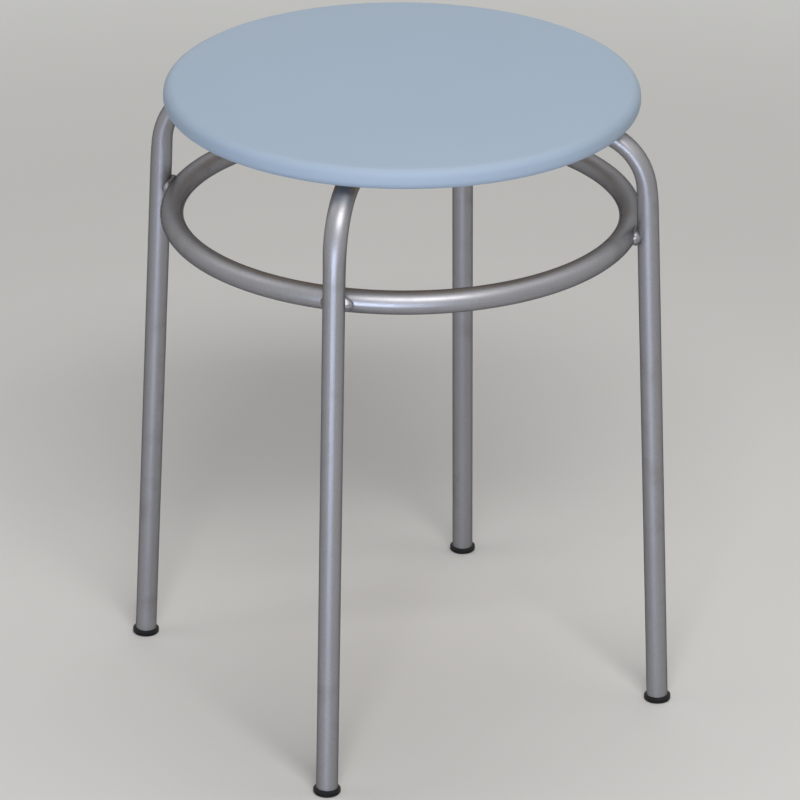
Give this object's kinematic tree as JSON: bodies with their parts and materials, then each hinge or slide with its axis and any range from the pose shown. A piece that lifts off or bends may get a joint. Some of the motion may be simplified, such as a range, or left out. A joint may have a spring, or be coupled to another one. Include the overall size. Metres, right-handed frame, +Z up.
{
  "type": "round metal stool",
  "caption": "Low round stool: a thin padded vinyl seat on splayed bent tube legs, braced by a tube ring welded inside them under the seat, with plastic foot plugs.",
  "frame": {"origin": "on the floor under the middle of the seat", "axes": "+Z up; the front leg stands towards -Y and the right leg towards +X"},
  "size_m": [0.3996, 0.3996, 0.45],
  "materials": {
    "vinyl": "smooth satin grey-blue vinyl",
    "foam": "open-cell foam",
    "plywood": "raw birch plywood",
    "silver_paint": "aluminium paint on steel tube",
    "zinc_steel": "zinc-plated",
    "black_plastic": "moulded"
  },
  "bodies": {
    "root": {"seat_cover": "vinyl", "seat_foam": "foam", "seat_board": "plywood", "hem_staples": "zinc_steel", "seat_screws": "zinc_steel", "side_legs": "silver_paint", "front_leg": "silver_paint", "rear_leg": "silver_paint", "centre_welds": "silver_paint", "brace_ring": "silver_paint", "ring_seam_weld": "silver_paint", "ring_welds": "silver_paint", "front_foot": "black_plastic", "right_foot": "black_plastic", "rear_foot": "black_plastic", "left_foot": "black_plastic"}
  },
  "joints": []
}
